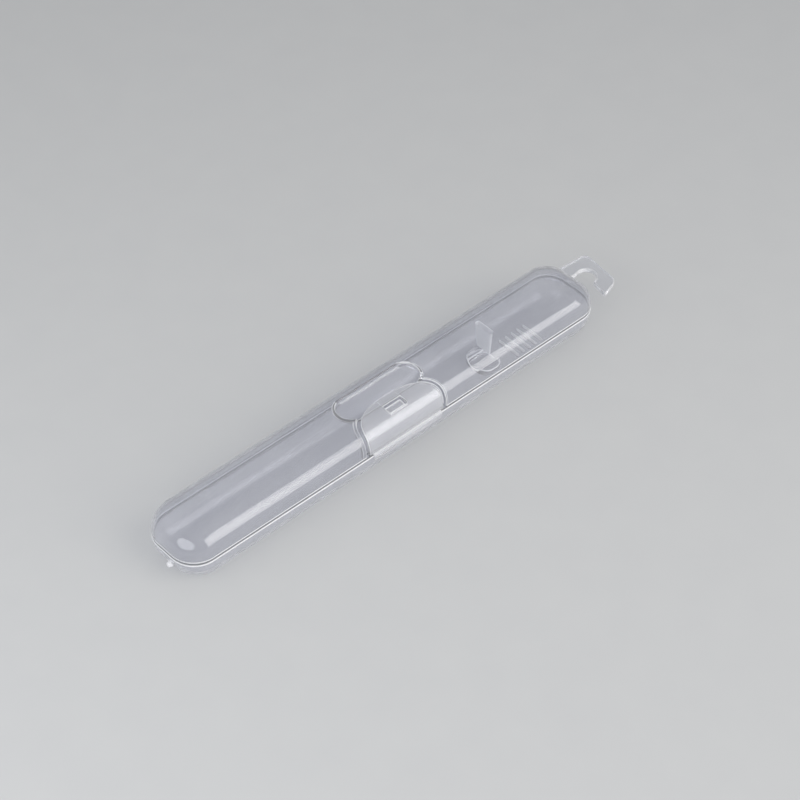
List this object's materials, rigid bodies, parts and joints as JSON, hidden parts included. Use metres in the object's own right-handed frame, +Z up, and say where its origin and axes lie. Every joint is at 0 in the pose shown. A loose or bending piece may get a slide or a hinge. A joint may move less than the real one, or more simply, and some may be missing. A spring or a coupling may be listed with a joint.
{
  "type": "travel toothbrush case",
  "caption": "Clear hinged travel toothbrush case with a wrap-over latch flap, drain slots in the tray, a neck saddle with a holding tab and a flat open hanging hook.",
  "frame": {"origin": "middle of the tray's flat base, on the surface that the case lies on", "axes": "+X along the case toward the hanging hook, -Y toward the latch flap, +Y toward the lid's film hinge, +Z up"},
  "size_m": [0.2172, 0.03, 0.0208],
  "materials": {
    "clear_shell": "clear, slightly milky polypropylene, smooth gloss",
    "clear_flap": "clear polypropylene, doubled over the lid, so it reads paler",
    "clear_inside": "clear, slightly milky polypropylene, satin"
  },
  "bodies": {
    "tray": {"tray_shell": "clear_shell", "neck_saddle": "clear_inside", "hanging_hook": "clear_shell", "tray_hinge_film": "clear_shell", "latch_hinge_film": "clear_flap"},
    "lid": {"lid_shell": "clear_shell", "lid_hinge_film": "clear_shell", "neck_tab": "clear_inside", "latch_catch": "clear_flap"},
    "latch": {"latch_flap": "clear_flap"}
  },
  "joints": [
    {"name": "lid_hinge", "type": "hinge", "parent": "tray", "child": "lid", "pos_m": [0, 0.0151, 0.0104], "axis": [-1, 0, 0], "range_deg": [0, 88]},
    {"name": "latch_hinge", "type": "hinge", "parent": "tray", "child": "latch", "pos_m": [0, -0.01515, 0.0091], "axis": [1, 0, 0], "range_deg": [0, 163]}
  ],
  "couplings": [
    {"joint": "latch_hinge", "follows": "lid_hinge", "ratio": 1.85}
  ]
}
